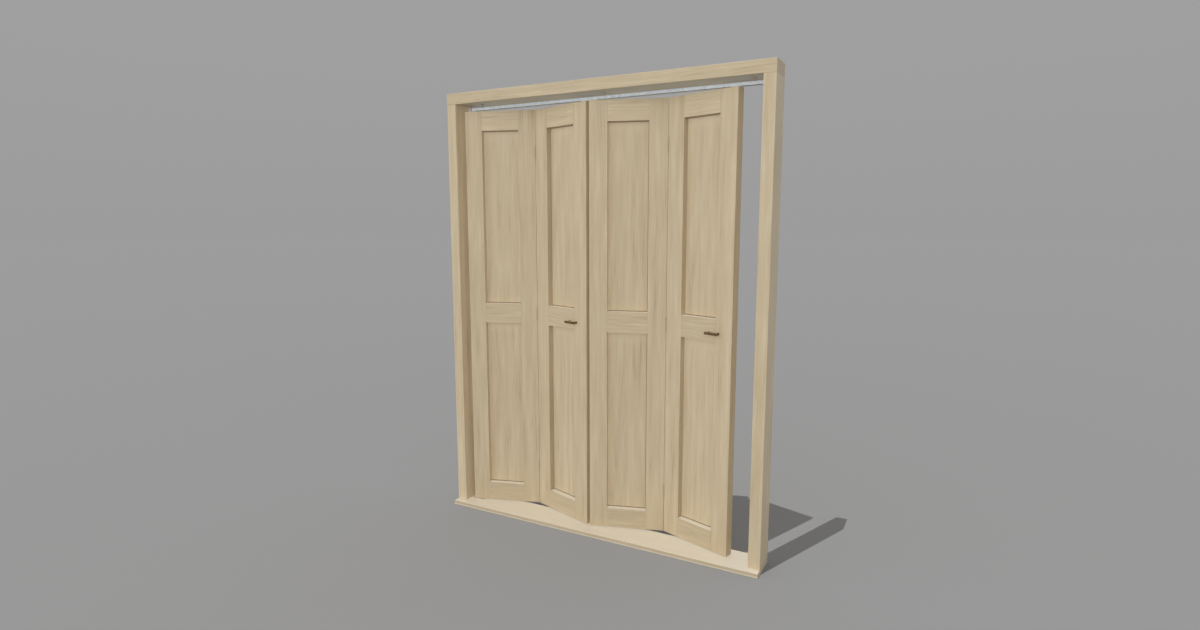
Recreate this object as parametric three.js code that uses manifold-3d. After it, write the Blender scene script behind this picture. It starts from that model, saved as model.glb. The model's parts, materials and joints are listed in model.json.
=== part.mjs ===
// Four-leaf bifold closet door in its wooden frame, millimetres, +Z up.
// The origin is on the underside of the sill, in the middle of the frame's width and of the
// jambs' depth, straight below the track. X runs along the doorway and +Y to the back.
import * as THREE from "three";
import { mergeVertices } from "three/addons/utils/BufferGeometryUtils.js";
import Module from "manifold-3d";

const wasm = await Module();
wasm.setup();

// Gap kept between neighbouring pieces, and how far a cutter runs past what it cuts
const fit = 0.3;
const overrun = 1;

// Frame
const frameWidth = 1616;
const frameHeight = 2100;
const frameDepth = 128;
const jambWidth = 52;
const headHeight = 53;
const sillThickness = 21;
const sillNose = 34;
const frameArris = 1.2;

// Leaves. Their width follows from the opening and the gaps that stay when they are closed.
const leafThickness = 40;
const stileWidth = 84;
const topRailHeight = 93;
const midRailHeight = 98;
const bottomRailHeight = 92;
const leafArris = 1;
const panelThickness = 7;
const panelRecess = 28;
const grooveDepth = 9;
const panelPlay = 1;

// How the leaves stand: their turn from closed, and the gaps that stay when they are closed, at
// the first jamb, between the pairs and at the last jamb
const foldAngle = THREE.MathUtils.degToRad(17.4);
const jambGap = 20;
const meetingGap = 2;
const closingGap = 67.6;

// Track, an inverted channel on hangers under the head
const trackWidth = 28;
const trackHeight = 11.5;
const trackWall = 1.2;
const trackSlot = 11;
const trackDrop = 17.7;
const trackEndGap = 2;
const trackStart = 22;
const leafTopGap = 2.5;
const hangerShares = [0.035, 0.5, 0.965];
const hangerFlangeRadius = 11;
const hangerFlange = 2.5;
const hangerStemRadius = 5;
const hangerNeckRadius = 3.5;
const hangerHeadRadius = 6.5;
const hangerHead = 1.6;

// Pivot pins and what they turn in
const pinRadius = 4;
const pinSeat = 32;
const pinHeadRadius = 6;
const pinHead = 2;
const gliderHeight = 6;
const gliderReach = 12;
const gliderNeckReach = 8;
const topBracketLength = 50;
const topBracketDepth = 40;
const topBracketPlate = 2.5;
const topBossRadius = 8;
const topBossHeight = 10;
const footPlateLength = 70;
const footPlateDepth = 40;
const footPlate = 2;
const footCollarRadius = 8;
const footCollar = 1.1;
const sillBoreDepth = 10;

// Butt hinges between leaves 1 and 2, and between leaves 3 and 4, let into the leaves' edges.
// The hinge gap stays between those edges when the leaves are closed.
const hingeGap = 1.2;
const hingeHeight = 64;
const hingeInset = 200;
const flapThickness = 0.8;
const flapWidth = 26;
const knuckleRadius = 2.8;
const knucklePinRadius = 1.3;
const middleKnuckleShare = 0.34;

// Pulls on leaves 2 and 4
const pullLength = 67;
const pullHeight = 12;
const pullThickness = 10;
const pullStandOff = 21;
const pullInset = 92;
const pullDrop = 12;
const pullEdge = 2.5;
const pullPostSpan = 47;
const pullPostRadius = 4;
const pullFootRadius = 6;
const pullFoot = 2;

// Steps round a circle, and round the quarter circle of a meeting edge
const roundSteps = 16;
const edgeSteps = 6;

// Heights
const sillTop = sillThickness;
const headUnderside = frameHeight - headHeight;
const trackTop = headUnderside - trackDrop;
const trackBottom = trackTop - trackHeight;
const leafBottom = sillTop + footPlate + footCollar + 3 * fit;
const leafTop = trackBottom - leafTopGap;
const openingHeight = (leafTop - leafBottom - topRailHeight - midRailHeight - bottomRailHeight) / 2;
const midRailBottom = leafBottom + bottomRailHeight + openingHeight;
const midRailTop = midRailBottom + midRailHeight;
const topRailBottom = leafTop - topRailHeight;
const hingeHeights = {
  lower: leafBottom + hingeInset,
  middle: (leafBottom + leafTop) / 2,
  upper: leafTop - hingeInset,
};

// Places in plan. Each leaf turns on a pin half its thickness from its end, on the track's line,
// and the hinge axis stands in front of the front faces, so that they fold face to face.
const pinInset = leafThickness / 2;
const frontFace = -leafThickness / 2;
const backFace = leafThickness / 2;
const innerJamb = frameWidth / 2 - jambWidth;
const hingeStandOff = knuckleRadius + fit;
const leafWidth = (2 * innerJamb - jambGap - meetingGap - closingGap - 2 * hingeGap) / 4;
const hingeX = leafWidth - pinInset + hingeGap / 2;
const hingeY = frontFace - hingeStandOff;
const flapFace = fit / 2;
const flapPocket = flapFace + flapThickness + fit - hingeGap / 2;
const pairSpan = 2 * (hingeX * Math.cos(foldAngle) - hingeY * Math.sin(foldAngle));
const pinPitch = 2 * pinInset + meetingGap;
const firstPinX = jambGap + pinInset - innerJamb;
const secondPinX = firstPinX + pairSpan;
const thirdPinX = secondPinX + pinPitch;
const fourthPinX = thirdPinX + pairSpan;

// Grooves that hold the panels and the rails' tongues
const grooveFront = frontFace + panelRecess - fit;
const grooveBack = grooveFront + panelThickness + 2 * fit;
const innerEdge = stileWidth - pinInset;
const farInnerEdge = leafWidth - pinInset - stileWidth;

// Colour, roughness and metalness of each finish
const finishes = {
  wood: [0xc0af93, 0.7, 0],
  panel: [0xbbab8d, 0.7, 0],
  frame: [0xc4b393, 0.7, 0],
  zinc: [0xb5bec1, 0.38, 1],
  nickel: [0xb3a68c, 0.4, 1],
  nylon: [0xd9d8d2, 0.6, 0],
  bronze: [0x5d4a2c, 0.42, 1],
};

function named(name, finish, geometry) {
  const [color, roughness, metalness] = finishes[finish];
  const mesh = new THREE.Mesh(
    geometry,
    new THREE.MeshStandardMaterial({ color, roughness, metalness }),
  );
  mesh.name = name;
  return mesh;
}

// A closed geometry as a solid that can be joined and cut
function solid(geometry) {
  const bare = geometry.clone();
  bare.deleteAttribute("normal");
  bare.deleteAttribute("uv");
  const merged = mergeVertices(bare);
  return new wasm.Manifold(
    new wasm.Mesh({
      numProp: 3,
      vertProperties: merged.attributes.position.array,
      triVerts: merged.index.array,
    }),
  );
}

function geometryOf(body) {
  const { vertProperties, triVerts } = body.getMesh();
  const geometry = new THREE.BufferGeometry();
  geometry.setAttribute("position", new THREE.BufferAttribute(vertProperties, 3));
  geometry.setIndex(new THREE.BufferAttribute(triVerts, 1));
  geometry.computeVertexNormals();
  return geometry;
}

const join = (...geometries) =>
  geometryOf(geometries.map(solid).reduce((whole, next) => whole.add(next)));

const cut = (geometry, ...cutters) =>
  geometryOf(cutters.map(solid).reduce((whole, next) => whole.subtract(next), solid(geometry)));

// An outline in plan, raised from one height to another
function upright(points, bottom, top) {
  const shape = new THREE.Shape(points.map(([x, y]) => new THREE.Vector2(x, y)));
  const geometry = new THREE.ExtrudeGeometry(shape, { depth: top - bottom, bevelEnabled: false });
  return geometry.translate(0, 0, bottom);
}

// A section in Y and Z, run along X from start to end
function lengthwise(points, start, end) {
  const shape = new THREE.Shape(points.map(([y, z]) => new THREE.Vector2(y, z)));
  const geometry = new THREE.ExtrudeGeometry(shape, { depth: end - start, bevelEnabled: false });
  geometry.rotateY(Math.PI / 2).rotateX(Math.PI / 2);
  return geometry.translate(start, 0, 0);
}

function box([x0, x1], [y0, y1], [z0, z1]) {
  const geometry = new THREE.BoxGeometry(Math.abs(x1 - x0), y1 - y0, z1 - z0);
  return geometry.translate((x0 + x1) / 2, (y0 + y1) / 2, (z0 + z1) / 2);
}

function rod(radius, [z0, z1], x = 0) {
  const geometry = new THREE.CylinderGeometry(radius, radius, z1 - z0, roundSteps);
  return geometry.rotateX(Math.PI / 2).translate(x, 0, (z0 + z1) / 2);
}

// A turned piece on the Z axis, from [radius, height] pairs that start and end on the axis
function turned(profile) {
  const points = profile.map(([radius, height]) => new THREE.Vector2(radius, height));
  return new THREE.LatheGeometry(points, roundSteps).rotateX(Math.PI / 2);
}

function chamfered([x0, x1], [y0, y1], chamfer) {
  return [
    [x0 + chamfer, y0],
    [x1 - chamfer, y0],
    [x1, y0 + chamfer],
    [x1, y1 - chamfer],
    [x1 - chamfer, y1],
    [x0 + chamfer, y1],
    [x0, y1 - chamfer],
    [x0, y0 + chamfer],
  ];
}

const mirrored = (points, side) => points.map(([x, y]) => [side * x, y]);

// The outline of a stile whose outer edge is at x = 0 and whose grooved edge is at its width.
// A meeting edge has its back corner rounded about the pin, so that it can turn past its
// neighbour.
function stileOutline(roundBack) {
  const backCorner = roundBack
    ? Array.from({ length: edgeSteps + 1 }, (_, step) => {
        const angle = (Math.PI / 2) * (step / edgeSteps);
        return [pinInset - pinInset * Math.sin(angle), pinInset * Math.cos(angle)];
      })
    : [
        [leafArris, backFace],
        [0, backFace - leafArris],
      ];
  return [
    [0, frontFace + leafArris],
    [leafArris, frontFace],
    [stileWidth, frontFace],
    [stileWidth, grooveFront],
    [stileWidth - grooveDepth, grooveFront],
    [stileWidth - grooveDepth, grooveBack],
    [stileWidth, grooveBack],
    [stileWidth, backFace],
    ...backCorner,
  ];
}

// The stile beside the leaf's own pin, bored for the pins that it holds
function pinStile(side, roundBack, boredAtFoot) {
  const outline = stileOutline(roundBack).map(([x, y]) => [x - pinInset, y]);
  const stile = upright(mirrored(outline, side), leafBottom, leafTop);
  const bores = [rod(pinRadius + fit, [leafTop - pinSeat, leafTop + overrun])];
  if (boredAtFoot) bores.push(rod(pinRadius + fit, [leafBottom - overrun, leafBottom + pinSeat]));
  return cut(stile, ...bores);
}

// The stile beside the hinges, with a shallow pocket for each flap
function hingeStile(side) {
  const edge = leafWidth - pinInset;
  const outline = stileOutline(false).map(([x, y]) => [edge - x, y]);
  const pockets = Object.values(hingeHeights).map((height) =>
    box(
      [side * (edge - flapPocket), side * (edge + overrun)],
      [frontFace - overrun, frontFace + flapWidth + fit],
      [height - hingeHeight / 2 - fit, height + hingeHeight / 2 + fit],
    ),
  );
  return cut(upright(mirrored(outline, side), leafBottom, leafTop), ...pockets);
}

// A rail with a tongue at each end, grooved on the edges that face a panel
function rail(side, bottom, top, groovedEdges) {
  const tongue = grooveDepth - panelPlay;
  const outline = [
    [innerEdge + fit, frontFace],
    [farInnerEdge - fit, frontFace],
    [farInnerEdge - fit, grooveFront + fit],
    [farInnerEdge + tongue, grooveFront + fit],
    [farInnerEdge + tongue, grooveBack - fit],
    [farInnerEdge - fit, grooveBack - fit],
    [farInnerEdge - fit, backFace],
    [innerEdge + fit, backFace],
    [innerEdge + fit, grooveBack - fit],
    [innerEdge - tongue, grooveBack - fit],
    [innerEdge - tongue, grooveFront + fit],
    [innerEdge + fit, grooveFront + fit],
  ];
  const along = [
    side * (innerEdge - grooveDepth - overrun),
    side * (farInnerEdge + grooveDepth + overrun),
  ];
  const across = [grooveFront, grooveBack];
  const grooves = [];
  if (groovedEdges.bottom) grooves.push(box(along, across, [bottom - overrun, bottom + grooveDepth]));
  if (groovedEdges.top) grooves.push(box(along, across, [top - grooveDepth, top + overrun]));
  return cut(upright(mirrored(outline, side), bottom, top), ...grooves);
}

function panel(side, bottom, top) {
  const tongue = grooveDepth - panelPlay;
  return box(
    [side * (innerEdge - tongue), side * (farInnerEdge + tongue)],
    [grooveFront + fit, grooveBack - fit],
    [bottom - tongue, top + tongue],
  );
}

// One hinge flap about its own axis. The outer flap holds the two end knuckles and the pin,
// and the inner flap holds the bored middle knuckle.
function hingeFlap(side, outer) {
  const half = hingeHeight / 2;
  const split = half * middleKnuckleShare;
  const thick = [-side * (flapFace + flapThickness), -side * flapFace];
  const plateFront = knuckleRadius + fit;
  const plate = box(thick, [plateFront, hingeStandOff + flapWidth], [-half, half]);
  const zones = outer
    ? [
        [-half, -split - fit],
        [split + fit, half],
      ]
    : [[-split, split]];
  const knuckles = zones.flatMap((zone) => [
    rod(knuckleRadius, zone),
    box(thick, [0, plateFront + flapThickness], zone),
  ]);
  if (outer) return join(plate, ...knuckles, rod(knucklePinRadius, [-half, half]));
  const bore = rod(knucklePinRadius + fit, [-split - overrun, split + overrun]);
  return cut(join(plate, ...knuckles), bore);
}

// A bar on two posts, standing in front of the leaf's face
function pull(x, z) {
  const barY = frontFace - pullStandOff;
  const section = chamfered(
    [barY - pullThickness / 2, barY + pullThickness / 2],
    [z - pullHeight / 2, z + pullHeight / 2],
    pullEdge,
  );
  const bar = lengthwise(section, x - pullLength / 2, x + pullLength / 2);
  const posts = [x - pullPostSpan / 2, x + pullPostSpan / 2].flatMap((postX) => {
    const foot = frontFace - fit;
    return [
      [pullPostRadius, foot - barY],
      [pullFootRadius, pullFoot],
    ].map(([radius, length]) =>
      new THREE.CylinderGeometry(radius, radius, length, roundSteps).translate(
        postX,
        foot - length / 2,
        z,
      ),
    );
  });
  return join(bar, ...posts);
}

// The headed pin that hangs a leaf from its glider
const gliderBottom = trackBottom + trackWall + fit;
const gliderTop = gliderBottom + gliderHeight;
const headSeat = gliderTop - pinHead - 2 * fit;

function hangingPin() {
  return turned([
    [0, leafTop - pinSeat + fit],
    [pinRadius, leafTop - pinSeat + fit],
    [pinRadius, headSeat + fit],
    [pinHeadRadius, headSeat + fit],
    [pinHeadRadius, headSeat + fit + pinHead],
    [0, headSeat + fit + pinHead],
  ]);
}

// A glider in the track, bored for the pins at the given places along it
function glider(pinPlaces) {
  const start = Math.min(...pinPlaces);
  const end = Math.max(...pinPlaces);
  const bodyHalf = trackWidth / 2 - trackWall - fit;
  const neckHalf = trackSlot / 2 - fit;
  const body = upright(
    chamfered([start - gliderReach, end + gliderReach], [-bodyHalf, bodyHalf], frameArris),
    gliderBottom,
    gliderTop,
  );
  const neck = box(
    [start - gliderNeckReach, end + gliderNeckReach],
    [-neckHalf, neckHalf],
    [trackBottom, gliderTop - frameArris],
  );
  const bores = pinPlaces.flatMap((x) => [
    rod(pinRadius + fit, [trackBottom - overrun, gliderTop + overrun], x),
    rod(pinHeadRadius + fit, [headSeat, gliderTop + overrun], x),
  ]);
  return cut(join(body, neck), ...bores);
}

// The wooden frame: the head lies across the jambs, and they stand on the sill
function frame() {
  const group = new THREE.Group();
  const halfWidth = frameWidth / 2;
  const halfDepth = frameDepth / 2;
  for (const [name, side] of [
    ["left_jamb", -1],
    ["right_jamb", 1],
  ]) {
    const outline = chamfered([innerJamb, halfWidth], [-halfDepth, halfDepth], frameArris);
    const jamb = upright(mirrored(outline, side), sillTop + fit, headUnderside - fit);
    group.add(named(name, "frame", jamb));
  }
  const headSection = chamfered([-halfDepth, halfDepth], [headUnderside, frameHeight], frameArris);
  group.add(named("head_jamb", "frame", lengthwise(headSection, -halfWidth, halfWidth)));
  const sillSection = chamfered([-halfDepth - sillNose, halfDepth], [0, sillTop], frameArris);
  const sill = cut(
    lengthwise(sillSection, -halfWidth, halfWidth),
    rod(pinRadius + fit, [sillTop - sillBoreDepth, sillTop + overrun], firstPinX),
  );
  group.add(named("sill", "frame", sill));
  return group;
}

// The track, its hangers and the two brackets of the first pivot
function fixedFittings() {
  const group = new THREE.Group();
  const half = trackWidth / 2;
  const slotHalf = trackSlot / 2;
  const webBottom = trackTop - trackWall;
  const lipTop = trackBottom + trackWall;
  const section = [
    [-half, trackBottom],
    [-slotHalf, trackBottom],
    [-slotHalf, lipTop],
    [trackWall - half, lipTop],
    [trackWall - half, webBottom],
    [half - trackWall, webBottom],
    [half - trackWall, lipTop],
    [slotHalf, lipTop],
    [slotHalf, trackBottom],
    [half, trackBottom],
    [half, trackTop],
    [-half, trackTop],
  ];
  const start = firstPinX + trackStart;
  const end = innerJamb - trackEndGap;
  const hangerPlaces = hangerShares.map((share) => start + share * (end - start));
  const holes = hangerPlaces.map((x) =>
    rod(hangerNeckRadius + fit, [webBottom - overrun, trackTop + overrun], x),
  );
  group.add(named("track", "zinc", cut(lengthwise(section, start, end), ...holes)));

  const headTop = webBottom - fit;
  hangerPlaces.forEach((x, index) => {
    const hanger = turned([
      [0, headTop - hangerHead],
      [hangerHeadRadius, headTop - hangerHead],
      [hangerHeadRadius, headTop],
      [hangerNeckRadius, headTop],
      [hangerNeckRadius, trackTop + fit],
      [hangerStemRadius, trackTop + fit],
      [hangerStemRadius, headUnderside - fit - hangerFlange],
      [hangerFlangeRadius, headUnderside - fit - hangerFlange],
      [hangerFlangeRadius, headUnderside - fit],
      [0, headUnderside - fit],
    ]);
    const mesh = named(`track_hanger_${index + 1}`, "zinc", hanger);
    mesh.position.x = x;
    group.add(mesh);
  });

  const plateTop = headUnderside - fit;
  const plateBottom = plateTop - topBracketPlate;
  const topBracket = cut(
    join(
      box(
        [-topBracketLength / 2, topBracketLength / 2],
        [-topBracketDepth / 2, topBracketDepth / 2],
        [plateBottom, plateTop],
      ),
      rod(topBossRadius, [plateBottom - topBossHeight, plateTop]),
    ),
    rod(pinRadius + fit, [plateBottom - topBossHeight - overrun, plateTop + overrun]),
  );
  const footBottom = sillTop + fit;
  const footBracket = cut(
    box(
      [-footPlateLength / 2, footPlateLength / 2],
      [-footPlateDepth / 2, footPlateDepth / 2],
      [footBottom, footBottom + footPlate],
    ),
    rod(pinRadius + fit, [footBottom - overrun, footBottom + footPlate + overrun]),
  );
  for (const [name, bracket] of [
    ["top_pivot_bracket", topBracket],
    ["bottom_pivot_plate", footBracket],
  ]) {
    const mesh = named(name, "zinc", bracket);
    mesh.position.x = firstPinX;
    group.add(mesh);
  }
  return group;
}

// One leaf about its pin. Side 1 runs from the pin to the right, side -1 to the left.
function leaf(name, { side, pinX, meetsNeighbour, hasFootPin, hasPull, hasKnucklePins }) {
  const group = new THREE.Group();
  group.position.x = pinX;
  group.rotation.z = side * foldAngle;
  const add = (piece, finish, geometry) => group.add(named(`${name}_${piece}`, finish, geometry));

  const [pinSide, hingeSide] = side > 0 ? ["left", "right"] : ["right", "left"];
  add(`${pinSide}_stile`, "wood", pinStile(side, meetsNeighbour, hasFootPin));
  add(`${hingeSide}_stile`, "wood", hingeStile(side));
  add("top_rail", "wood", rail(side, topRailBottom, leafTop, { bottom: true }));
  add("mid_rail", "wood", rail(side, midRailBottom, midRailTop, { bottom: true, top: true }));
  add("bottom_rail", "wood", rail(side, leafBottom, leafBottom + bottomRailHeight, { top: true }));
  add("upper_panel", "panel", panel(side, midRailTop, topRailBottom));
  add("lower_panel", "panel", panel(side, leafBottom + bottomRailHeight, midRailBottom));

  for (const [place, height] of Object.entries(hingeHeights)) {
    const flap = named(`${name}_${place}_hinge_flap`, "nickel", hingeFlap(side, hasKnucklePins));
    flap.position.set(side * hingeX, hingeY, height);
    group.add(flap);
  }

  if (hasPull) {
    const pullZ = (midRailBottom + midRailTop) / 2 - pullDrop;
    add("pull", "bronze", pull(side * (pullInset - pinInset), pullZ));
  }
  if (hasFootPin) {
    const topPin = turned([
      [0, leafTop - pinSeat + fit],
      [pinRadius, leafTop - pinSeat + fit],
      [pinRadius, headUnderside - 2 * fit],
      [0, headUnderside - 2 * fit],
    ]);
    const footPin = turned([
      [0, sillTop - sillBoreDepth + fit],
      [pinRadius, sillTop - sillBoreDepth + fit],
      [pinRadius, leafBottom - fit - footCollar],
      [footCollarRadius, leafBottom - fit - footCollar],
      [footCollarRadius, leafBottom - fit],
      [pinRadius, leafBottom - fit],
      [pinRadius, leafBottom + pinSeat - fit],
      [0, leafBottom + pinSeat - fit],
    ]);
    add("top_pin", "zinc", topPin);
    add("bottom_pin", "zinc", footPin);
  } else {
    add("top_pin", "zinc", hangingPin());
  }
  return group;
}

const door = new THREE.Group();
door.add(frame(), fixedFittings());
door.add(
  leaf("leaf_1", { side: 1, pinX: firstPinX, hasFootPin: true, hasKnucklePins: true }),
  leaf("leaf_2", { side: -1, pinX: secondPinX, meetsNeighbour: true, hasPull: true }),
  leaf("leaf_3", { side: 1, pinX: thirdPinX, meetsNeighbour: true, hasKnucklePins: true }),
  leaf("leaf_4", { side: -1, pinX: fourthPinX, hasPull: true }),
  named("middle_glider", "nylon", glider([secondPinX, thirdPinX])),
  named("end_glider", "nylon", glider([fourthPinX])),
);

export default door;
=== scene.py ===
import json
import math
import random

import bmesh
import bpy
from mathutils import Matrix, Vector


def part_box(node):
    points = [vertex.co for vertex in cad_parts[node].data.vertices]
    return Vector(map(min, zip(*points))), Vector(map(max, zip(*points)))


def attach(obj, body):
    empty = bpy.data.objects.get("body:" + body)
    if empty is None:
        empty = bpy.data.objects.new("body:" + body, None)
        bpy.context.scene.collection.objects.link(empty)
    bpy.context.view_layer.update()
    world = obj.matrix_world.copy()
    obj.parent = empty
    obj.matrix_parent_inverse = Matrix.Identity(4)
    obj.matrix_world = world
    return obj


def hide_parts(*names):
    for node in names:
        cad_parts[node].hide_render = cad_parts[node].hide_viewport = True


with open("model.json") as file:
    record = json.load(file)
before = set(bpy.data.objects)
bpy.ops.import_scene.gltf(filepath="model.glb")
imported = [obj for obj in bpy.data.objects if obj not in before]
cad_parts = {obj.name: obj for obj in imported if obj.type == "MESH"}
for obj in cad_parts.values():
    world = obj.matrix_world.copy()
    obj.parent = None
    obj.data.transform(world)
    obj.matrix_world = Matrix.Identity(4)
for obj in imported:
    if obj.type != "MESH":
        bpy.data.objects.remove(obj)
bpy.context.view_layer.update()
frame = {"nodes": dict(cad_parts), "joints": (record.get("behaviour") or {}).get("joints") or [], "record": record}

mm = 0.001
joints = {joint["name"]: joint for joint in frame["joints"]}
bodies = frame["record"]["behaviour"]["bodies"]
bodyOf = {node: body for body, nodes in bodies.items() for node in nodes}
slotOf = {part["node"]: part["material_slot"] for part in frame["record"]["subparts"]}
foldTurn = -math.radians(joints["leaf_1_pivot"]["range_deg"][0])   # from closed to the pose at rest
leafTurns = {"leaf_1": foldTurn, "leaf_2": -foldTurn, "leaf_3": foldTurn, "leaf_4": -foldTurn}
leafPins = {
    "leaf_1": "leaf_1_pivot", "leaf_2": "leaf_2_pin",
    "leaf_3": "leaf_3_pin", "leaf_4": "leaf_4_pin",
}
print("frame loaded:", len(frame["nodes"]), "nodes")

studio = {
    "cameraPlace": (1.4687, -2.7429, 1.4844),
    "cameraTilt": 82.06,          # degrees up from straight down
    "cameraTurn": 28.0,           # degrees to the left of +Y
    "sensor": 36.0,               # mm, as the lens
    "lens": 20.266,               # for a picture of 1200 x 630
    "farthest": 200.0,
    "skyTop": 0.25,
    "skyEdge": 1.25,
    "doorLamp": {"level": 0.6, "rise": 54.0, "turn": 17.0, "softness": 20.0},
    "backLamp": {"level": 0.25, "rise": 35.0, "turn": 180.0, "softness": 20.0},
    "floorLamp": {"level": 0.62, "rise": 72.0, "turn": 21.7, "softness": 0.2},
    "jambLamp": {"level": 0.085, "rise": 0.0, "turn": -90.0, "softness": 20.0},
    "jambLit": "left_jamb",       # the only piece that the jamb's lamp lights
    "overhead": ("head", "track", "top_pivot"),   # throws no shadow on the floor
    "floorNear": (0.2623, 0.2623, 0.2623),
    "floorFar": (0.287, 0.287, 0.287),
    "floorHalfway": 3.0,          # metres out, where the floor is halfway between the two
    "floorRoughness": 0.9,
    "floorRadius": 60.0,
    "floorSides": 96,
    "backdropEdge": (0.333, 0.333, 0.333),
    "backdropTop": (0.405, 0.405, 0.405),
}


# A colour of a screen's 0 to 255 as the linear one that materials take
def linear(red, green, blue):
    shares = (red / 255, green / 255, blue / 255)
    return tuple(((c + 0.055) / 1.055) ** 2.4 if c > 0.04045 else c / 12.92 for c in shares)


# Shader maths as expressions: a wire is a socket that can be added, scaled and compared
class Wire:
    def __init__(self, finish, socket):
        self.finish, self.socket = finish, socket

    def maths(self, operation, *values):
        return self.finish.add("ShaderNodeMath", {"operation": operation}, dict(enumerate(values)))

    def __add__(self, other):
        return self.maths("ADD", self, other)

    __radd__ = __add__

    def __sub__(self, other):
        return self.maths("SUBTRACT", self, other)

    def __rsub__(self, other):
        return self.maths("SUBTRACT", other, self)

    def __mul__(self, other):
        return self.maths("MULTIPLY", self, other)

    __rmul__ = __mul__

    def __truediv__(self, other):
        return self.maths("DIVIDE", self, other)

    def __rtruediv__(self, other):
        return self.maths("DIVIDE", other, self)

    def __abs__(self):
        return self.maths("ABSOLUTE", self)

    def least(self, other):
        return self.maths("MINIMUM", self, other)


class Nodes:
    def __init__(self, tree):
        self.tree = tree
        self.tree.nodes.clear()

    # Any node: its settings first, then the values or wires of its sockets
    def add(self, kind, settings=None, sockets=None, output=0):
        node = self.tree.nodes.new(kind)
        for key, value in (settings or {}).items():
            setattr(node, key, value)
        for key, value in (sockets or {}).items():
            if isinstance(value, Wire):
                self.tree.links.new(value.socket, node.inputs[key])
            else:
                node.inputs[key].default_value = value
        return Wire(self, node.outputs[output]) if node.outputs else None

    def join(self, x, y, z):
        return self.add("ShaderNodeCombineXYZ", sockets={0: x, 1: y, 2: z})


class Finish(Nodes):
    def __init__(self, name, tree=None):
        self.material = None if tree else bpy.data.materials.new(name)
        if self.material:
            self.material.use_nodes = True
        super().__init__(tree or self.material.node_tree)

    def place(self):
        return self.add("ShaderNodeTexCoord", output="Object")

    def split(self, vector):
        node = self.add("ShaderNodeSeparateXYZ", sockets={0: vector}).socket.node
        return [Wire(self, output) for output in node.outputs]

    def noise(self, vector, scale=1.0, detail=2.0, roughness=0.5):
        return self.add(
            "ShaderNodeTexNoise",
            {"noise_dimensions": "3D"},
            {"Vector": vector, "Scale": scale, "Detail": detail, "Roughness": roughness},
        )

    # A value brought from one range to 0 to 1, clamped and smooth
    def ease(self, value, low, high):
        return self.add(
            "ShaderNodeMapRange",
            {"interpolation_type": "SMOOTHSTEP"},
            {0: value, 1: low, 2: high, 3: 0.0, 4: 1.0},
        )

    def mix(self, share, first, second):
        return self.add(
            "ShaderNodeMix",
            {"data_type": "RGBA", "blend_type": "MIX"},
            {0: share, 6: first, 7: second},
            output=2,
        )

    def bump(self, strength, distance, height):
        sockets = {"Strength": strength, "Distance": distance, "Height": height}
        return self.add("ShaderNodeBump", sockets=sockets)

    def surface(self, **sockets):
        names = {key.replace("_", " "): value for key, value in sockets.items()}
        shader = self.add("ShaderNodeBsdfPrincipled", sockets=names)
        self.add("ShaderNodeOutputMaterial", sockets={"Surface": shader})
        return self.material


def opaque(colour):
    return (*colour, 1.0)


# Pale oak boards with a satin clear coat: soft bands of tone, finer fibres, slanting growth rings,
# pores, end grain, pale dust and painted skylight on what faces up, a greyer painted shade on what
# faces down, painted shade in the panels' corners, painted light at the panels' tops, a pale lower
# edge on the sill and painted shade on the stiles' feet
oak = {
    "light": linear(208, 191, 160),
    "middle": linear(196, 178, 146),
    "dark": linear(176, 156, 122),
    "fleck": linear(148, 126, 92),
    "endGrain": linear(160, 138, 105),
    # The pale colour for what faces up is dust and painted skylight; the corner and underside colours are painted
    # shade
    "dustAndSkylight": linear(200, 194, 179),
    "corner": linear(122, 104, 76),
    "underside": linear(156, 163, 158),
    "paleLevels": (0.12, 0.52),   # of the grain: its mix of light, middle and dark
    "darkLevels": (0.5, 0.86),
    "poreLevels": (0.63, 0.74),
    "poreShare": 0.55,
    "endShare": 0.45,
    "dustAndSkylightShare": 0.55,
    "undersideShare": 0.3,
    # Tones that fade out upwards from the floor, and down from the top of a panel: the stiles' darker
    # feet are painted shade and the panels' paler tops painted light
    "sillFoot": {"colour": linear(222, 210, 188), "share": 0.6, "levels": (6 * mm, 10 * mm)},
    "stileFootShade": {"colour": linear(150, 130, 100), "share": 0.2, "levels": (30 * mm, 230 * mm)},
    "panelTopLight": {"share": 0.65, "levels": (8 * mm, 70 * mm)},
    "cornerShadeShare": 0.85,
    "cornerShadeLine": (2.0 * mm, 4.6 * mm),
    "cornerShadeLeft": -3.6 * mm,      # how much wider it is at the left, the right and the foot
    "cornerShadeRight": 2.2 * mm,
    "cornerShadeFoot": 1.4 * mm,
    "uprightBand": (22 * mm, 300 * mm, 8 * mm),   # width, length and sway
    "levelBand": (11 * mm, 170 * mm, 12 * mm),
    "swayWidth": 70 * mm,
    "drift": (90 * mm, 700 * mm, 50 * mm),        # of the rings: width, length and reach
    "fibreWidth": 1.6 * mm,
    "fibreLength": 90 * mm,
    "poreWidth": 0.5 * mm,
    "poreLength": 9 * mm,
    "ringWidth": 5.5 * mm,
    "toneSpread": 0.02,
    "bumpStrength": 0.35,
    "bumpDepth": 0.25 * mm,
    "roughness": 0.52,
    "coat": 0.5,
    "coatRoughness": 0.3,
}
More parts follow.
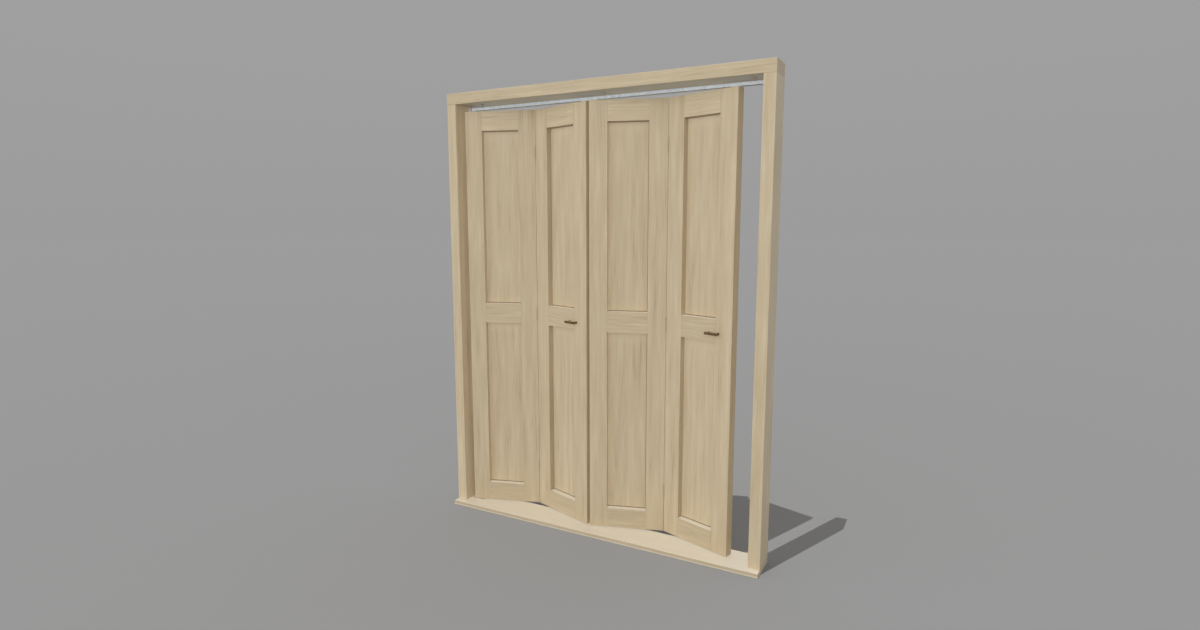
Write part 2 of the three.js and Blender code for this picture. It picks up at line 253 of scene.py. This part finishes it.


# A board's own oak: its leaf's turn, its grain upright or level, its shade of the colours above
# (partly painted light), the opening round it if it is a panel, and the tone of its foot if it has
# one (on the stiles painted shade)
def oakBoard(name, turn, upright, seed, shade, opening=None, foot=None):
    finish = Finish(name)
    draw = random.Random(seed)
    turned = finish.add(
        "ShaderNodeMapping",
        {"vector_type": "POINT"},
        {"Vector": finish.place(), "Rotation": (0, 0, -turn)},
    )
    x, y, z = finish.split(turned)
    along, across, through = (z, x, y) if upright else (x, z, y)
    # Each board is cut from its own part of the tree
    along = along + draw.uniform(-20, 20)
    across = across + draw.uniform(-20, 20)
    through = through + draw.uniform(-20, 20)
    bandWidth, bandLength, sway = oak["uprightBand" if upright else "levelBand"]
    driftWidth, driftLength, driftReach = oak["drift"]

    def stretched(width, length):
        return finish.join(across / width, through / width, along / length)

    swaying = finish.noise(stretched(oak["swayWidth"], bandLength), detail=1.0) - 0.5
    across = across + swaying * sway
    drift = (finish.noise(stretched(driftWidth, driftLength), detail=1.0) - 0.5) * driftReach
    bands = finish.noise(stretched(bandWidth, bandLength), detail=3.0, roughness=0.55)
    fibrePlaces = stretched(oak["fibreWidth"], oak["fibreLength"])
    fibres = finish.noise(fibrePlaces, detail=3.0, roughness=0.6)
    pores = finish.noise(stretched(oak["poreWidth"], oak["poreLength"]), detail=1.0)
    # Growth rings cut at a slant: sheets that lean a little along the board
    lean = draw.uniform(0.012, 0.03) * draw.choice((-1, 1))
    slanted = across + through * draw.uniform(0.4, 1.4) + along * lean
    rings = (slanted + drift) / oak["ringWidth"]
    late = finish.ease(rings.maths("PINGPONG", rings, 1.0), 0.45, 1.0)   # the dark late wood

    tone = draw.uniform(-1, 1) * oak["toneSpread"]
    blend = bands * 1.1 + fibres * 0.34 + late * 0.1 - 0.3 + tone
    light = opaque(tuple(c * shade for c in oak["light"]))
    middle = opaque(tuple(c * shade for c in oak["middle"]))
    dark = opaque(tuple(c * shade for c in oak["dark"]))
    colour = finish.mix(finish.ease(blend, *oak["paleLevels"]), light, middle)
    colour = finish.mix(finish.ease(blend, *oak["darkLevels"]), colour, dark)
    poreMask = finish.ease(pores, *oak["poreLevels"]) * (0.3 + late * 0.5)
    colour = finish.mix(poreMask * oak["poreShare"], colour, opaque(oak["fleck"]))

    normal = finish.split(finish.add("ShaderNodeTexCoord", output="Normal"))
    endMask = finish.ease(abs(normal[2 if upright else 0]), 0.8, 0.95)
    endSpots = finish.noise(finish.join(across, through, 0.0), scale=900.0, detail=2.0)
    endTones = opaque(oak["dark"]), opaque(oak["endGrain"])
    endColour = finish.mix(endSpots * 0.5 + late * 0.3, *endTones)
    colour = finish.mix(endMask * oak["endShare"], colour, endColour)
    # Pale dust and painted skylight on what faces up
    dustAndSkylightMask = finish.ease(normal[2], 0.75, 0.95)
    colour = finish.mix(dustAndSkylightMask * oak["dustAndSkylightShare"], colour, opaque(oak["dustAndSkylight"]))
    # Painted shade: a greyer tone on what faces down
    undersideShadeMask = finish.ease(0.0 - normal[2], 0.75, 0.95)
    colour = finish.mix(undersideShadeMask * oak["undersideShare"], colour, opaque(oak["underside"]))
    # A tone that fades out upwards from the floor: painted shade on the stiles, a pale edge on the sill
    if foot:
        footMask = 1.0 - finish.ease(z, *oak[foot]["levels"])
        colour = finish.mix(footMask * oak[foot]["share"], colour, opaque(oak[foot]["colour"]))
    if opening:
        left, right, low, high = opening
        # Painted light: the panel paler just under the rail above it
        panelTopLightMask = 1.0 - finish.ease(high - z, *oak["panelTopLight"]["levels"])
        colour = finish.mix(panelTopLightMask * oak["panelTopLight"]["share"], colour, light)
        # Painted shade: a dark line along the opening's corners, wider at the right and the foot
        sides = (x - left - oak["cornerShadeLeft"]).least(right - x - oak["cornerShadeRight"])
        inside = sides.least((z - low - oak["cornerShadeFoot"]).least(high - z))
        corner = 1.0 - finish.ease(inside, *oak["cornerShadeLine"])
        colour = finish.mix(corner * oak["cornerShadeShare"], colour, opaque(oak["corner"]))

    relief = fibres * 0.5 - poreMask * 0.9 + bands * 0.3
    bump = finish.bump(oak["bumpStrength"], oak["bumpDepth"], relief)
    roughness = oak["roughness"] + fibres * 0.1 + poreMask * 0.2 + endMask * 0.12
    return finish.surface(
        Base_Color=colour,
        Roughness=roughness,
        Normal=bump,
        Coat_Weight=oak["coat"],
        Coat_Roughness=oak["coatRoughness"],
    )


# Zinc plated steel: cool grey with drawn lines and faint blotches of the plating. The track's
# lines are long, and the inside of its channel is painted dark, as painted shade.
zinc = {
    "track": (linear(222, 229, 233), linear(198, 206, 210)),
    "pins": (linear(212, 219, 222), linear(190, 197, 200)),
    "brackets": (linear(186, 175, 157), linear(168, 158, 141)),
    "screws": (linear(158, 148, 128), linear(132, 123, 104)),
    # Painted shade for the inside of the track's channel
    "channelShade": linear(70, 68, 62),
    "channelShadeDepth": (0.5 * mm, 1.1 * mm),
    "lineWidth": 0.6 * mm,
    "lineLength": 3 * mm,
    "drawnLength": 400 * mm,
    "bumpDepth": 0.05 * mm,
    "metal": 0.35,
    "roughness": 0.4,
}


def zincSteel(name, look, channel=None):
    finish = Finish(name)
    x, y, z = finish.split(finish.place())
    length, width = zinc["drawnLength" if channel else "lineLength"], zinc["lineWidth"]
    lines = finish.noise(finish.join(x / length, y / width, z / width), detail=3.0)
    blotch = finish.noise(finish.place(), scale=60.0, detail=4.0, roughness=0.6)
    bright, dull = [opaque(tone) for tone in zinc[look]]
    colour = finish.mix(finish.ease(blotch, 0.35, 0.7), bright, dull)
    # Painted shade: the inside of the channel darker deeper in
    if channel:
        low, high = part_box(channel)
        depth = (y - low[1]).least(high[1] - y).least((z - low[2]).least(high[2] - z))
        channelShadeMask = finish.ease(depth, *zinc["channelShadeDepth"])
        colour = finish.mix(channelShadeMask, colour, opaque(zinc["channelShade"]))
    roughness = zinc["roughness"] + (lines - 0.5) * 0.16 + (blotch - 0.5) * 0.2
    bump = finish.bump(0.25, zinc["bumpDepth"], lines)
    return finish.surface(
        Base_Color=colour,
        Metallic=zinc["metal"],
        Roughness=roughness,
        Normal=bump,
    )


# Satin nickel with a warm cast, brushed round the knuckles
nickel = {
    "bright": linear(206, 195, 172),
    "dull": linear(186, 174, 150),
    "brushWidth": 0.3 * mm,
    "brushLength": 9 * mm,
    "bumpDepth": 0.04 * mm,
    "metal": 0.5,
    "roughness": 0.42,
}


def satinNickel(name):
    finish = Finish(name)
    x, y, z = finish.split(finish.place())
    length, width = nickel["brushLength"], nickel["brushWidth"]
    brush = finish.noise(finish.join(x / length, y / length, z / width), detail=2.0)
    wear = finish.noise(finish.place(), scale=45.0, detail=2.0)
    worn = finish.ease(wear, 0.3, 0.8) * 0.45 + finish.ease(brush, 0.35, 0.7) * 0.4
    colour = finish.mix(worn, opaque(nickel["bright"]), opaque(nickel["dull"]))
    roughness = nickel["roughness"] + (brush - 0.5) * 0.22
    bump = finish.bump(0.3, nickel["bumpDepth"], brush)
    return finish.surface(
        Base_Color=colour,
        Metallic=nickel["metal"],
        Roughness=roughness,
        Normal=bump,
    )


# Moulded nylon, off-white and slightly mottled
nylon = {
    "dull": linear(214, 212, 203),
    "white": linear(228, 227, 220),
    "bumpDepth": 0.05 * mm,
    "roughness": 0.5,
}


def mouldedNylon(name):
    finish = Finish(name)
    cloud = finish.noise(finish.place(), scale=90.0, detail=4.0)
    grain = finish.noise(finish.place(), scale=2600.0, detail=2.0)
    colour = finish.mix(cloud, opaque(nylon["dull"]), opaque(nylon["white"]))
    roughness = nylon["roughness"] + (cloud - 0.5) * 0.15
    bump = finish.bump(0.2, nylon["bumpDepth"], grain)
    return finish.surface(Base_Color=colour, Roughness=roughness, Normal=bump)


# Oil rubbed bronze: nearly black brown, rubbed lighter where hands and edges catch it
bronze = {
    "deep": linear(98, 79, 52),
    "rubbed": linear(150, 126, 88),
    "bumpDepth": 0.05 * mm,
    "metal": 0.6,
    "roughness": 0.42,
}


def rubbedBronze(name):
    finish = Finish(name)
    cloud = finish.noise(finish.place(), scale=55.0, detail=5.0, roughness=0.6)
    grain = finish.noise(finish.place(), scale=1900.0, detail=2.0)
    edge = finish.ease(finish.add("ShaderNodeNewGeometry", output="Pointiness"), 0.5, 0.58)
    rubbed = finish.ease(cloud, 0.45, 0.75) * 0.35 + edge * 0.5
    colour = finish.mix(rubbed, opaque(bronze["deep"]), opaque(bronze["rubbed"]))
    roughness = bronze["roughness"] + (cloud - 0.5) * 0.25 - edge * 0.08
    bump = finish.bump(0.3, bronze["bumpDepth"], grain)
    return finish.surface(
        Base_Color=colour,
        Metallic=bronze["metal"],
        Roughness=roughness,
        Normal=bump,
    )


# A leaf's own frame: its pin is the origin, and X runs from the pin to the hinges
class LeafFrame:
    def __init__(self, leaf):
        turn = leafTurns[leaf]
        side = 1 if turn > 0 else -1
        self.origin = Vector(joints[leafPins[leaf]]["pos_m"])
        self.outward = Vector((math.cos(turn), math.sin(turn), 0)) * side
        self.back = Vector((-math.sin(turn), math.cos(turn), 0))

    def place(self, along, depth, height):
        return self.origin + self.outward * along + self.back * depth + Vector((0, 0, height))

    def along(self, point):
        return (point - self.origin).dot(self.outward)

    def depth(self, point):
        return (point - self.origin).dot(self.back)


# How each kind of piece is eased. Widths in mm.
kinds = {
    "board": {"ease": 0.5, "steps": 2},
    "panel": {"ease": 0.4, "steps": 1},
    "steel": {"ease": 0.25, "steps": 1},
    "flap": {"ease": 0.12, "steps": 1},
    "pull": {"ease": 1.1, "steps": 3},
}
easing = {
    "sharp": math.radians(32),    # edges sharper than this are eased
    "flat": math.radians(0.6),    # faces nearer to one plane than this are joined
    "merge": 0.002 * mm,
}

hingeEdges = {
    "stiles": (
        "leaf_1_right_stile", "leaf_2_left_stile",
        "leaf_3_right_stile", "leaf_4_left_stile",
    ),
    "near": 0.05 * mm,            # what counts as lying on the edge or on the front face
    "corner": 1.05 * mm,
    "outward": 0.45 * mm,
}


# The edges that meet at the hinges stand flush with the flaps, and their front corners are square
def closeEdge(work, leafFrame):
    edge = max(leafFrame.along(vertex.co) for vertex in work.verts)
    front = min(leafFrame.depth(vertex.co) for vertex in work.verts)
    for vertex in work.verts:
        short = edge - leafFrame.along(vertex.co)
        onFront = leafFrame.depth(vertex.co) < front + hingeEdges["near"]
        if short < hingeEdges["near"] or onFront and short < hingeEdges["corner"]:
            vertex.co += leafFrame.outward * (short + hingeEdges["outward"])


# A copy of a CAD node with its triangles merged and its edges eased, standing for the node
def finishedPiece(node, kind, material):
    look = kinds[kind]
    mesh = frame["nodes"][node].data.copy()
    work = bmesh.new()
    work.from_mesh(mesh)
    bmesh.ops.remove_doubles(work, verts=work.verts, dist=easing["merge"])
    if node in hingeEdges["stiles"]:
        closeEdge(work, LeafFrame(bodyOf[node]))
    flat = easing["flat"]
    bmesh.ops.dissolve_limit(work, angle_limit=flat, verts=work.verts, edges=work.edges)
    work.to_mesh(mesh)
    work.free()
    mesh.shade_smooth()
    piece = bpy.data.objects.new(node + "_finished", mesh)
    bpy.context.scene.collection.objects.link(piece)
    bevel = piece.modifiers.new("eased edges", "BEVEL")
    bevel.width, bevel.segments = look["ease"] * mm, look["steps"]
    bevel.limit_method, bevel.angle_limit = "ANGLE", easing["sharp"]
    piece.modifiers.new("broad faces stay flat", "WEIGHTED_NORMAL")
    settle(piece, material, bodyOf[node], [node])


# The evaluated mesh takes the place of the modifiers, and the piece rides on its body and stands
# for the CAD nodes that it replaces
def settle(piece, material, body, nodes):
    evaluated = piece.evaluated_get(bpy.context.evaluated_depsgraph_get())
    mesh = bpy.data.meshes.new_from_object(evaluated)
    piece.modifiers.clear()
    piece.data = mesh
    mesh.materials.clear()
    mesh.materials.append(material)
    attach(piece, body)
    if nodes:
        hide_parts(*nodes)


# The opening that a panel stands in, along its leaf and in height
def openingOf(leaf, panel):
    turn = leafTurns[leaf]

    def spread(board, axis):
        vertices = frame["nodes"][f"{leaf}_{board}"].data.vertices
        places = [vertex.co.dot(axis) for vertex in vertices]
        return min(places), max(places)

    along, up = Vector((math.cos(turn), math.sin(turn), 0)), Vector((0, 0, 1))
    upper = panel == "upper_panel"
    below, above = ("mid_rail", "top_rail") if upper else ("bottom_rail", "mid_rail")
    return (
        spread("left_stile", along)[1], spread("right_stile", along)[0],
        spread(below, up)[1], spread(above, up)[0],
    )


# How light each board is, of the oak's colours. A single leaf's board goes before its kind. Part of
# this is painted light: the top rails, the panels and the left jamb are lighter against the shade
# that the head, the recesses and the jamb's gap give them, and the bottom rails darker against the
# light that the sill throws up on them.
boardTonesAndPaintedLight = {
    "left_jamb": 1.06, "right_jamb": 1.03, "head_jamb": 1.01, "sill": 0.9,
    "left_stile": 1.02, "right_stile": 1.02,
    "top_rail": 1.08, "mid_rail": 1.0, "bottom_rail": 0.9,
    "upper_panel": 1.03, "lower_panel": 1.03,
    "leaf_3_mid_rail": 1.04, "leaf_4_mid_rail": 0.94, "leaf_3_right_stile": 1.05,
}
grainUpright = {"left_jamb": True, "right_jamb": True, "head_jamb": False, "sill": False}
leafBoards = ("left_stile", "right_stile", "top_rail", "mid_rail", "bottom_rail")
leafPanels = ("upper_panel", "lower_panel")


def dressBoards():
    for seed, (node, upright) in enumerate(grainUpright.items(), start=11):
        foot = "sillFoot" if node == "sill" else None
        material = oakBoard("oak_" + node, 0.0, upright, seed, boardTonesAndPaintedLight[node], foot=foot)
        finishedPiece(node, "board", material)
    for number, (leaf, turn) in enumerate(leafTurns.items(), start=1):
        for seed, board in enumerate(leafBoards + leafPanels, start=100 * number):
            node = leaf + "_" + board
            isPanel, isStile = board in leafPanels, board.endswith("stile")
            shade = boardTonesAndPaintedLight.get(node, boardTonesAndPaintedLight[board])
            opening = openingOf(leaf, board) if isPanel else None
            foot = "stileFootShade" if isStile else None
            upright = isPanel or isStile
            material = oakBoard("oak_" + node, turn, upright, seed, shade, opening, foot)
            finishedPiece(node, "panel" if isPanel else "board", material)


dressBoards()
print("boards and panels dressed")


def dressFittings():
    trackZinc = zincSteel("zinc_track", "track", channel="track")
    pinZinc = zincSteel("zinc_pins", "pins")
    bracketZinc = zincSteel("zinc_brackets", "brackets")
    screwZinc = zincSteel("zinc_screws", "screws")
    flapNickel = satinNickel("nickel")
    gliderNylon = mouldedNylon("nylon")
    pullBronze = rubbedBronze("bronze")
    for node in frame["nodes"]:
        slot = slotOf[node]
        if node == "track":
            finishedPiece(node, "steel", trackZinc)
        elif slot == "zinc_steel":
            finishedPiece(node, "steel", pinZinc if node.endswith("pin") else bracketZinc)
        elif slot == "hinge_metal":
            finishedPiece(node, "flap", flapNickel)
        elif slot == "nylon":
            finishedPiece(node, "steel", gliderNylon)
        elif slot == "pull_bronze":
            finishedPiece(node, "pull", pullBronze)
    return bracketZinc, screwZinc, pullBronze


bracketZinc, screwZinc, pullBronze = dressFittings()
print("track, pins, hinges and pulls dressed")


# Screws and bolts, in mm where nothing else is said. A rise is what stands proud of the metal.
screws = {
    "sides": 28,
    "recessWidth": 0.26,          # of the head's radius, as the length and the rim
    "recessLength": 1.25,
    "recessDepth": 0.35,          # of the head's height
    "rim": 0.86,
    "seed": 7,
    "sunk": 0.6,                  # how far a head reaches into the metal
    "halfLeaf": 20.0,             # from the leaf's middle to its back
    "hingeRadius": 3.0,
    "hingeRise": 0.12,
    "hingeDepths": (7.0, 17.0, 7.0),   # from the leaf's front, lowest first
    "hingeSpacing": 21.0,
    "flapFace": 0.15,             # from the fold's axis to a flap's face
    "hangerFlange": 2.5,
    "hangerRadius": 1.9,
    "hangerRise": 0.4,
    "hangerCircle": 8.2,
    "hangerTurns": (30.0, 150.0, 270.0),
    "bracketFlange": 2.5,
    "bracketRadius": 3.2,
    "bracketRise": 0.3,
    "bracketSpread": (19.0, 14.0),
    "plateSpread": (28.0, 13.0),
    "boltRadius": 4.2,
    "boltRise": 1.6,
    "boltPlaces": (48.5, 95.5),   # from the leaf's pin
}


# Cross recessed heads on points. Each point has the way its head faces, its radius and its rise.
def screwTree():
    tree = bpy.data.node_groups.new("cross recessed heads", "GeometryNodeTree")
    tree.interface.new_socket("Places", in_out="INPUT", socket_type="NodeSocketGeometry")
    for name in ("Recess Width", "Recess Length", "Recess Depth", "Rim"):
        tree.interface.new_socket(name, in_out="INPUT", socket_type="NodeSocketFloat")
    tree.interface.new_socket("Seed", in_out="INPUT", socket_type="NodeSocketInt")
    tree.interface.new_socket("Metal", in_out="INPUT", socket_type="NodeSocketMaterial")
    tree.interface.new_socket("Heads", in_out="OUTPUT", socket_type="NodeSocketGeometry")
    nodes = Nodes(tree)
    given = nodes.add("NodeGroupInput").socket.node
    wires = [Wire(nodes, output) for output in given.outputs[:7]]
    places, width, length, depth, rim, seed, metal = wires
    head = nodes.add(
        "GeometryNodeMeshCone",
        {"fill_type": "NGON"},
        {"Vertices": screws["sides"], "Radius Top": rim, "Radius Bottom": 1.0, "Depth": 1.0},
    )
    # The two slots of the cross are cut from the head's top, at height 1. The default solver would
    # leave open edges, and another order of vertices on each run.
    sizes = nodes.join(length, width, depth * 2.0), nodes.join(width, length, depth * 2.0)
    for size in sizes:
        slot = nodes.add("GeometryNodeMeshCube", sockets={"Size": size})
        cutter = nodes.add("GeometryNodeTransform", sockets={0: slot, "Translation": (0, 0, 1)})
        head = nodes.add(
            "GeometryNodeMeshBoolean",
            {"operation": "DIFFERENCE", "solver": "MANIFOLD"},
            {"Mesh 1": head, "Mesh 2": cutter},
        )
    vectorType = {"data_type": "FLOAT_VECTOR"}
    aim = nodes.add("GeometryNodeInputNamedAttribute", vectorType, {"Name": "aim"})
    size = nodes.add("GeometryNodeInputNamedAttribute", vectorType, {"Name": "size"})
    facing = nodes.add("FunctionNodeAlignRotationToVector", {"axis": "Z"}, {"Vector": aim})
    spin = nodes.add(
        "FunctionNodeRandomValue",
        {"data_type": "FLOAT"},
        {2: 0.0, 3: math.pi, "Seed": seed},
        output=1,
    )
    spun = nodes.add("FunctionNodeEulerToRotation", sockets={0: nodes.join(0.0, 0.0, spin)})
    turned = nodes.add(
        "FunctionNodeRotateRotation",
        {"rotation_space": "LOCAL"},
        {"Rotation": facing, "Rotate By": spun},
    )
    heads = nodes.add("GeometryNodeInstanceOnPoints", sockets={
        "Points": places, "Instance": head, "Rotation": turned, "Scale": size,
    })
    real = nodes.add("GeometryNodeRealizeInstances", sockets={"Geometry": heads})
    dressed = nodes.add("GeometryNodeSetMaterial", sockets={"Geometry": real, "Material": metal})
    nodes.add("NodeGroupOutput", sockets={"Heads": dressed})
    return tree


# Heads at (place, aim, radius, rise) on one body, each sunk so far that only its rise shows
def screwPiece(name, tree, body, material, heads):
    mesh = bpy.data.meshes.new(name)
    sunk = screws["sunk"] * mm
    mesh.from_pydata([place - aim.normalized() * sunk for place, aim, _, _ in heads], [], [])
    aims = [aim for _, aim, _, _ in heads]
    sizes = [(radius * mm, radius * mm, rise * mm + sunk) for _, _, radius, rise in heads]
    for key, values in (("aim", aims), ("size", sizes)):
        data = mesh.attributes.new(key, "FLOAT_VECTOR", "POINT").data
        for item, value in zip(data, values):
            item.vector = value
    piece = bpy.data.objects.new(name, mesh)
    bpy.context.scene.collection.objects.link(piece)
    modifier = piece.modifiers.new("heads", "NODES")
    modifier.node_group = tree
    inputs = {
        "Recess Width": screws["recessWidth"],
        "Recess Length": screws["recessLength"],
        "Recess Depth": screws["recessDepth"],
        "Rim": screws["rim"],
        "Seed": screws["seed"],
        "Metal": material,
    }
    for item in tree.interface.items_tree:
        if item.name in inputs:
            modifier[item.identifier] = inputs[item.name]
    settle(piece, material, body, [])
    piece.data.shade_smooth()
    piece.data.set_sharp_from_angle(angle=easing["sharp"])


# The mean height of a node's vertices
def heightOf(node):
    vertices = frame["nodes"][node].data.vertices
    return sum(vertex.co.z for vertex in vertices) / len(vertices)


# The middle of a node's top
def topOf(node):
    low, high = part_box(node)
    return Vector(((low[0] + high[0]) / 2, (low[1] + high[1]) / 2, high[2]))


def hingeHeads(leaf):
    leafFrame = LeafFrame(leaf)
    fold = "leaf_2_fold" if leaf in ("leaf_1", "leaf_2") else "leaf_4_fold"
    face = leafFrame.along(Vector(joints[fold]["pos_m"])) - screws["flapFace"] * mm
    heads = []
    for hinge in ("lower", "middle", "upper"):
        height = heightOf(f"{leaf}_{hinge}_hinge_flap")
        for depth, step in zip(screws["hingeDepths"], (-1, 0, 1)):
            back = (depth - screws["halfLeaf"]) * mm
            spot = leafFrame.place(face, back, height + step * screws["hingeSpacing"] * mm)
            heads.append((spot, leafFrame.outward, screws["hingeRadius"], screws["hingeRise"]))
    return heads


# Three heads under the flange of each hanger, and four on the plate of either pivot
def frameHeads():
    down, up = Vector((0, 0, -1)), Vector((0, 0, 1))
    heads = []
    for number in (1, 2, 3):
        flange = topOf(f"track_hanger_{number}") + down * screws["hangerFlange"] * mm
        for turn in screws["hangerTurns"]:
            angle = math.radians(turn)
            reach = Vector((math.cos(angle), math.sin(angle), 0)) * screws["hangerCircle"] * mm
            heads.append((flange + reach, down, screws["hangerRadius"], screws["hangerRise"]))
    bracket = topOf("top_pivot_bracket") + down * screws["bracketFlange"] * mm
    plate = topOf("bottom_pivot_plate")
    for middle, aim, spread in (
        (bracket, down, screws["bracketSpread"]),
        (plate, up, screws["plateSpread"]),
    ):
        for x in (-spread[0], spread[0]):
            for y in (-spread[1], spread[1]):
                spot = middle + Vector((x, y, 0)) * mm
                heads.append((spot, aim, screws["bracketRadius"], screws["bracketRise"]))
    return heads


def boltHeads(leaf):
    leafFrame, height = LeafFrame(leaf), heightOf(leaf + "_pull")
    heads = []
    for along in screws["boltPlaces"]:
        spot = leafFrame.place(along * mm, screws["halfLeaf"] * mm, height)
        heads.append((spot, leafFrame.back, screws["boltRadius"], screws["boltRise"]))
    return heads


def driveScrews():
    tree = screwTree()
    for leaf in leafTurns:
        name = leaf + "_hinge_screws"
        screwPiece(name, tree, leaf, screwZinc, hingeHeads(leaf))
    screwPiece("frame_screws", tree, "frame", bracketZinc, frameHeads())
    for leaf in ("leaf_2", "leaf_4"):
        name = leaf + "_pull_bolts"
        screwPiece(name, tree, leaf, pullBronze, boltHeads(leaf))


driveScrews()
print("screws driven")


# A far lamp for the given pieces. Its light falls at its rise, travels at its turn from +Y
# towards +X, and throws the shadows of the casting pieces.
def lamp(name, lit, casting=()):
    look = studio[name]
    rise, turn = math.radians(look["rise"]), math.radians(look["turn"])
    sun = bpy.data.objects.new(name, bpy.data.lights.new(name, "SUN"))
    sun.data.energy = look["level"] * math.pi
    sun.data.angle = math.radians(look["softness"])
    flat = math.cos(rise)
    travel = Vector((math.sin(turn) * flat, math.cos(turn) * flat, -math.sin(rise)))
    sun.rotation_euler = travel.to_track_quat("-Z", "Y").to_euler()
    bpy.context.scene.collection.objects.link(sun)
    sun.data.use_shadow = bool(casting)
    links = sun.light_linking
    links.receiver_collection = bpy.data.collections.new(name + " lights")
    links.blocker_collection = bpy.data.collections.new(name + " casts shadows of")
    for piece in lit:
        links.receiver_collection.objects.link(piece)
    for piece in casting:
        links.blocker_collection.objects.link(piece)


def makeFloor():
    floorMesh = bpy.data.meshes.new("floor")
    work = bmesh.new()
    sides, radius = studio["floorSides"], studio["floorRadius"]
    bmesh.ops.create_circle(work, cap_ends=True, segments=sides, radius=radius)
    work.to_mesh(floorMesh)
    work.free()
    floor = bpy.data.objects.new("floor", floorMesh)
    bpy.context.scene.collection.objects.link(floor)
    paint = Finish("floor paint")
    away = paint.add("ShaderNodeVectorMath", {"operation": "LENGTH"}, {0: paint.place()}, "Value")
    share = away / (away + studio["floorHalfway"])
    shade = paint.mix(share, opaque(studio["floorNear"]), opaque(studio["floorFar"]))
    floorMesh.materials.append(paint.surface(
        Base_Color=shade,
        Roughness=studio["floorRoughness"],
        Specular_IOR_Level=0.0,
    ))
    return floor


# The door's lamps throw no shadows, so that the head leaves the top rails lit, and the floor's
# lamp throws the shadows of the upright pieces
def hangLamps(floor):
    door = [piece for piece in bpy.data.objects if piece.type == "MESH" and piece != floor]
    lamp("doorLamp", door)
    lamp("backLamp", door)
    lamp("jambLamp", [piece for piece in door if piece.name.startswith(studio["jambLit"])])
    upright = [piece for piece in door if not piece.name.startswith(studio["overhead"])]
    lamp("floorLamp", [floor], upright)


# The sky is brighter near the horizon, and shows as a plain grey backdrop
def makeSky():
    world = bpy.data.worlds.new("sky")
    bpy.context.scene.world = world
    world.use_nodes = True
    sky = Finish("sky", world.node_tree)
    rays = sky.add("ShaderNodeLightPath").socket.node
    seen = Wire(sky, rays.outputs["Is Camera Ray"])
    seen = seen.maths("MAXIMUM", seen, Wire(sky, rays.outputs["Is Glossy Ray"]))
    seen = seen.maths("MAXIMUM", seen, Wire(sky, rays.outputs["Is Transmission Ray"]))
    height = sky.split(sky.add("ShaderNodeTexCoord", output="Generated"))[2]
    top, edge = opaque((studio["skyTop"],) * 3), opaque((studio["skyEdge"],) * 3)
    rise = height.maths("MAXIMUM", height, 0.0)
    backdrop = sky.mix(rise, opaque(studio["backdropEdge"]), opaque(studio["backdropTop"]))
    colour = sky.mix(seen, sky.mix(rise, edge, top), backdrop)
    background = sky.add("ShaderNodeBackground", sockets={"Color": colour, "Strength": 1.0})
    sky.add("ShaderNodeOutputWorld", sockets={"Surface": background})


def placeCamera():
    camera = bpy.data.objects.new("camera", bpy.data.cameras.new("camera"))
    camera.data.sensor_width, camera.data.lens = studio["sensor"], studio["lens"]
    camera.data.clip_end = studio["farthest"]
    camera.location = studio["cameraPlace"]
    tilt, turn = math.radians(studio["cameraTilt"]), math.radians(studio["cameraTurn"])
    camera.rotation_euler = (tilt, 0, turn)
    bpy.context.scene.collection.objects.link(camera)
    bpy.context.scene.camera = camera
    bpy.context.scene.view_settings.view_transform = "Standard"


hangLamps(makeFloor())
makeSky()
placeCamera()
print("studio and camera placed")
